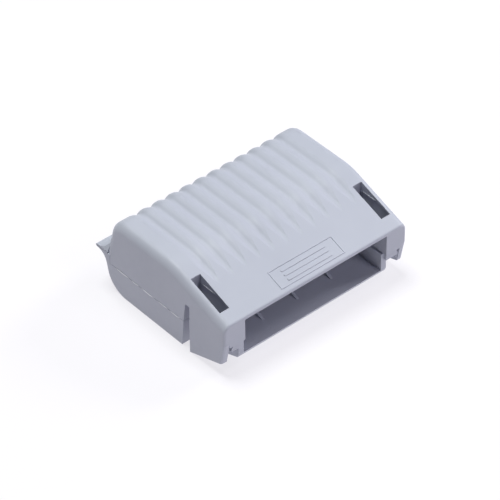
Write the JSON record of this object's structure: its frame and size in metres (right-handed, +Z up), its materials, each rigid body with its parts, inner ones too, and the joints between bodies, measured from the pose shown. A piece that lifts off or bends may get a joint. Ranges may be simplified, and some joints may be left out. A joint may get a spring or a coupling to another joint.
{
  "type": "gel box with lever wire connectors",
  "caption": "Closed clamshell box with a ribbed roof and snap flaps, gel inside, and lever wire connectors seated behind its cable mouth.",
  "frame": {"origin": "centre of the box's footprint, on the surface it stands on", "axes": "+Z up, X across the box, -Y out of the cable mouth, +Y towards the film hinge"},
  "size_m": [0.0524, 0.0434, 0.0208],
  "materials": {
    "shell": "fine moulded satin",
    "film": "thin bent web",
    "gel": "translucent soft gel",
    "housing": "clear polycarbonate",
    "end_cap": "satin",
    "lever": "satin",
    "busbar": "tinned copper",
    "spring": "bright spring steel"
  },
  "bodies": {
    "base": {"base_shell": "shell", "hinge_film": "film", "base_gel": "gel", "left_housing": "housing", "left_end_cap": "end_cap", "left_busbar": "busbar", "left_spring_1": "spring", "left_spring_2": "spring", "left_spring_3": "spring", "right_housing": "housing", "right_end_cap": "end_cap", "right_busbar": "busbar", "right_spring_1": "spring", "right_spring_2": "spring", "right_spring_3": "spring"},
    "cover": {"cover_shell": "shell", "cover_gel": "gel"},
    "left_lever_1_body": {"left_lever_1": "lever"},
    "left_lever_2_body": {"left_lever_2": "lever"},
    "left_lever_3_body": {"left_lever_3": "lever"},
    "right_lever_1_body": {"right_lever_1": "lever"},
    "right_lever_2_body": {"right_lever_2": "lever"},
    "right_lever_3_body": {"right_lever_3": "lever"}
  },
  "joints": [
    {"name": "cover_hinge", "type": "hinge", "parent": "base", "child": "cover", "pos_m": [0, 0.02127, 0.0102], "axis": [-1, 0, 0], "range_deg": [0, 170], "deforming": ["hinge_film", "cover_gel", "base_gel"]},
    {"name": "left_lever_1_hinge", "type": "hinge", "parent": "base", "child": "left_lever_1_body", "pos_m": [-0.01535, 0.00593, 0.0086], "axis": [-1, 0, 0], "range_deg": [0, 90], "deforming": ["left_spring_1", "cover_gel"]},
    {"name": "left_lever_2_hinge", "type": "hinge", "parent": "base", "child": "left_lever_2_body", "pos_m": [-0.00975, 0.00593, 0.0086], "axis": [-1, 0, 0], "range_deg": [0, 90], "deforming": ["left_spring_2", "cover_gel"]},
    {"name": "left_lever_3_hinge", "type": "hinge", "parent": "base", "child": "left_lever_3_body", "pos_m": [-0.00415, 0.00593, 0.0086], "axis": [-1, 0, 0], "range_deg": [0, 90], "deforming": ["left_spring_3", "cover_gel"]},
    {"name": "right_lever_1_hinge", "type": "hinge", "parent": "base", "child": "right_lever_1_body", "pos_m": [0.00415, 0.00593, 0.0086], "axis": [-1, 0, 0], "range_deg": [0, 90], "deforming": ["right_spring_1", "cover_gel"]},
    {"name": "right_lever_2_hinge", "type": "hinge", "parent": "base", "child": "right_lever_2_body", "pos_m": [0.00975, 0.00593, 0.0086], "axis": [-1, 0, 0], "range_deg": [0, 90], "deforming": ["right_spring_2", "cover_gel"]},
    {"name": "right_lever_3_hinge", "type": "hinge", "parent": "base", "child": "right_lever_3_body", "pos_m": [0.01535, 0.00593, 0.0086], "axis": [-1, 0, 0], "range_deg": [0, 90], "deforming": ["right_spring_3", "cover_gel"]}
  ]
}
